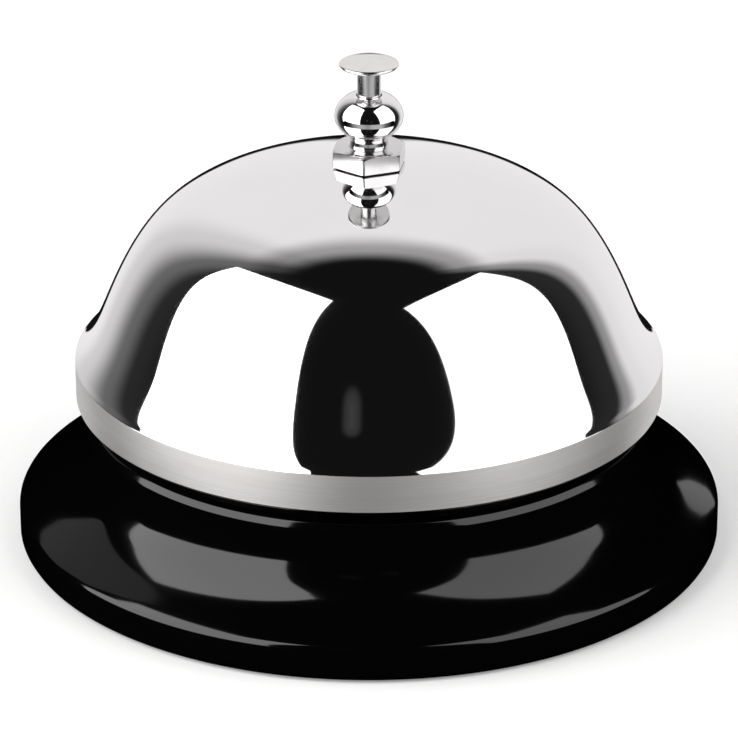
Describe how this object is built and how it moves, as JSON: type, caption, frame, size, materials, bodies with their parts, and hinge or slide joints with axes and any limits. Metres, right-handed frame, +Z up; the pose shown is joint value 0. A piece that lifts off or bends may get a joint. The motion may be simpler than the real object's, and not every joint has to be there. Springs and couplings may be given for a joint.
{
  "type": "service bell",
  "caption": "Counter service bell: pressing the button on top drives a rod and lever whose weighted head strikes the polished gong from inside.",
  "frame": {"origin": "centre of the circle on which the foot ring rests, on the table's surface", "axes": "+Z up along the plunger; the striker swings in the XZ plane with its head on the +X side; -Y is the front seen in the picture"},
  "size_m": [0.085, 0.085, 0.0595],
  "materials": {
    "enamel": "gloss black enamel",
    "rubber": "matt black",
    "gong_chrome": "polished, brushed round the rim band",
    "finial_chrome": "polished",
    "rod_chrome": "polished",
    "button_chrome": "polished with a turned top",
    "plated_steel": "zinc plated, satin",
    "spring_steel": "bright wire",
    "brass": "turned",
    "fibre": "vulcanised fibre"
  },
  "bodies": {
    "stand": {"base_shell": "enamel", "foot_ring": "rubber", "gong": "gong_chrome", "gong_lower_washer": "fibre", "gong_upper_washer": "fibre", "finial_screw": "finial_chrome", "mechanism_frame": "plated_steel", "frame_rivet_front": "plated_steel", "frame_rivet_rear": "plated_steel", "centre_post": "plated_steel", "post_nut": "plated_steel", "post_lock_washer": "plated_steel", "guide_bush": "brass", "return_spring": "spring_steel", "pivot_pin": "plated_steel", "pivot_clip": "spring_steel"},
    "plunger": {"plunger_rod": "rod_chrome", "push_button": "button_chrome", "plunger_clip": "spring_steel", "spring_cap_washer": "plated_steel"},
    "striker": {"striker_lever": "plated_steel", "striker_hub": "brass", "striker_head": "brass"}
  },
  "joints": [
    {"name": "button_press", "type": "slide", "parent": "stand", "child": "plunger", "axis": [0, 0, -1], "range_m": [0, 0.0028], "stiffness_N_per_m": 350, "springref_m": -0.004, "deforming": ["return_spring"]},
    {"name": "striker_swing", "type": "hinge", "parent": "stand", "child": "striker", "pos_m": [0.0049, 0, 0.0255], "axis": [0, -1, 0], "range_deg": [0, 32.52]}
  ],
  "couplings": [
    {"joint": "striker_swing", "follows": "button_press", "rad_per_m": 202.7}
  ]
}
